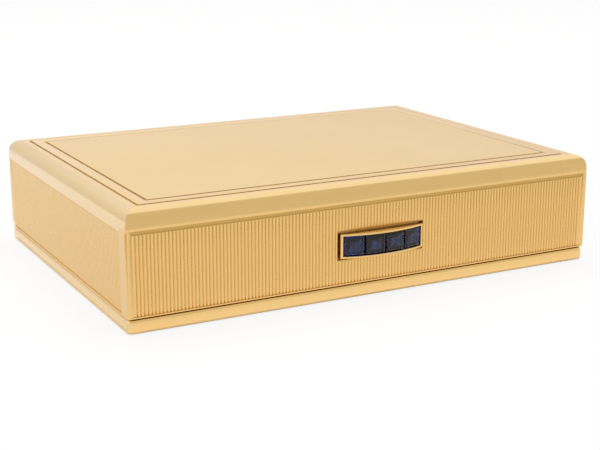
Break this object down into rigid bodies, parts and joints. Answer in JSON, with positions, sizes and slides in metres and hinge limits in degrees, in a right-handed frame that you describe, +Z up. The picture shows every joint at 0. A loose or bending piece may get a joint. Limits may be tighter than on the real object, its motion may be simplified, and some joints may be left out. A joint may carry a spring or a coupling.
{
  "type": "hinged table box",
  "caption": "Low rectangular metal table box: a deep reeded hood hinged at the back over a shallow plinth, held by a spring hook that a stone-set push-piece in front releases.",
  "frame": {"origin": "middle of the flat underside, halfway between the plinth's left and right faces and halfway between its front and back faces", "axes": "+X to the right along the front, +Y from the front to the hinged back, +Z up"},
  "size_m": [0.127, 0.0946, 0.0279],
  "materials": {
    "gold_polished": "polished yellow gold",
    "gold_satin": "fine engine-turned satin yellow gold",
    "gold_reeded": "yellow gold cut with fine upright reeds",
    "sapphire": "square step-cut deep blue stone",
    "spring_steel": "fine-ground hardened steel"
  },
  "bodies": {
    "base": {"plinth_front": "gold_polished", "plinth_back": "gold_polished", "plinth_left": "gold_polished", "plinth_right": "gold_polished", "floor_plate": "gold_polished", "rim_front": "gold_polished", "rim_back": "gold_polished", "rim_left": "gold_polished", "rim_right": "gold_polished", "catch_plate": "gold_polished", "base_knuckles": "gold_polished", "hinge_pin": "spring_steel", "pin_plugs": "gold_polished"},
    "lid": {"wall_front": "gold_polished", "wall_back": "gold_polished", "wall_left": "gold_polished", "wall_right": "gold_polished", "reeded_front": "gold_reeded", "reeded_back": "gold_reeded", "reeded_left": "gold_reeded", "reeded_right": "gold_reeded", "edge_moulding_front": "gold_polished", "edge_moulding_back": "gold_polished", "edge_moulding_left": "gold_polished", "edge_moulding_right": "gold_polished", "fillet_frame": "gold_polished", "top_panel": "gold_satin", "lid_plate": "gold_polished", "lid_knuckles": "gold_polished", "spring_block": "gold_polished", "spring_rivets": "gold_polished", "latch_spring": "spring_steel"},
    "push": {"push_bezel": "gold_polished", "push_plate": "gold_polished", "plate_rivets": "gold_polished", "sapphire_1": "sapphire", "sapphire_2": "sapphire", "sapphire_3": "sapphire", "sapphire_4": "sapphire"}
  },
  "joints": [
    {"name": "lid_hinge", "type": "hinge", "parent": "base", "child": "lid", "pos_m": [0, 0.0454, 0.0033], "axis": [-1, 0, 0], "range_deg": [0, 95]},
    {"name": "push_slide", "type": "slide", "parent": "lid", "child": "push", "axis": [0, 1, 0], "range_m": [0, 0.0008], "stiffness_N_per_m": 1500, "springref_m": -0.0004, "deforming": ["latch_spring"]}
  ]
}
